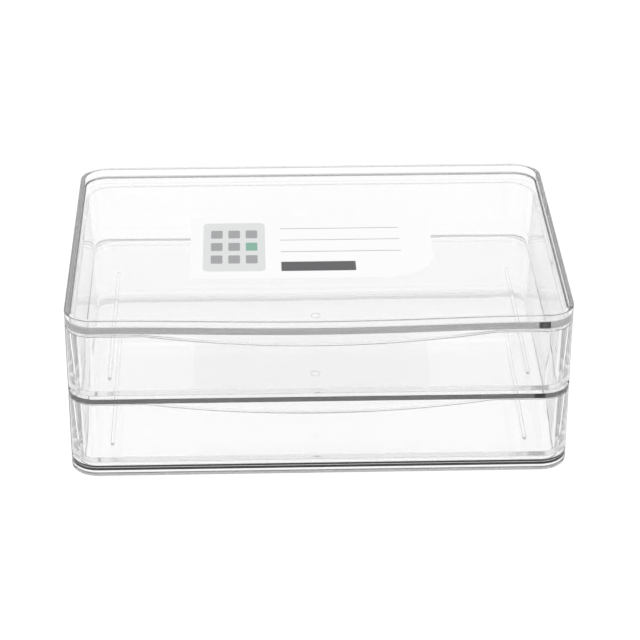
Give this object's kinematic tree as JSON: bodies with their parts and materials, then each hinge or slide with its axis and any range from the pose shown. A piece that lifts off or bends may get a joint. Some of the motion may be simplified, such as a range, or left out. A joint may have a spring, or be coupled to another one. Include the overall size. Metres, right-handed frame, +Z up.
{
  "type": "desktop drawer unit",
  "caption": "Clear rounded desktop case with a raised rim and stacked open-front bays, holding slide-out trays whose wrap-round fronts have a shallow finger dip.",
  "frame": {"origin": "middle of the footprint, on the surface that the unit stands on", "axes": "+X to the right of someone facing the drawers, +Y to the back, +Z up; the drawers pull out towards -Y"},
  "size_m": [0.25, 0.175, 0.0884],
  "materials": {
    "clear_case": "clear, water-white, polished moulding",
    "clear_drawer": "clear, water-white, polished moulding",
    "label_paper": "smooth white label paper"
  },
  "bodies": {
    "case": {"upper_shell": "clear_case", "lower_shell": "clear_case", "base_plate": "clear_case", "label": "label_paper"},
    "upper_drawer": {"upper_drawer": "clear_drawer"},
    "lower_drawer": {"lower_drawer": "clear_drawer"}
  },
  "joints": [
    {"name": "upper_drawer_slide", "type": "slide", "parent": "case", "child": "upper_drawer", "axis": [0, -1, 0], "range_m": [0, 0.13]},
    {"name": "lower_drawer_slide", "type": "slide", "parent": "case", "child": "lower_drawer", "axis": [0, -1, 0], "range_m": [0, 0.13]}
  ]
}
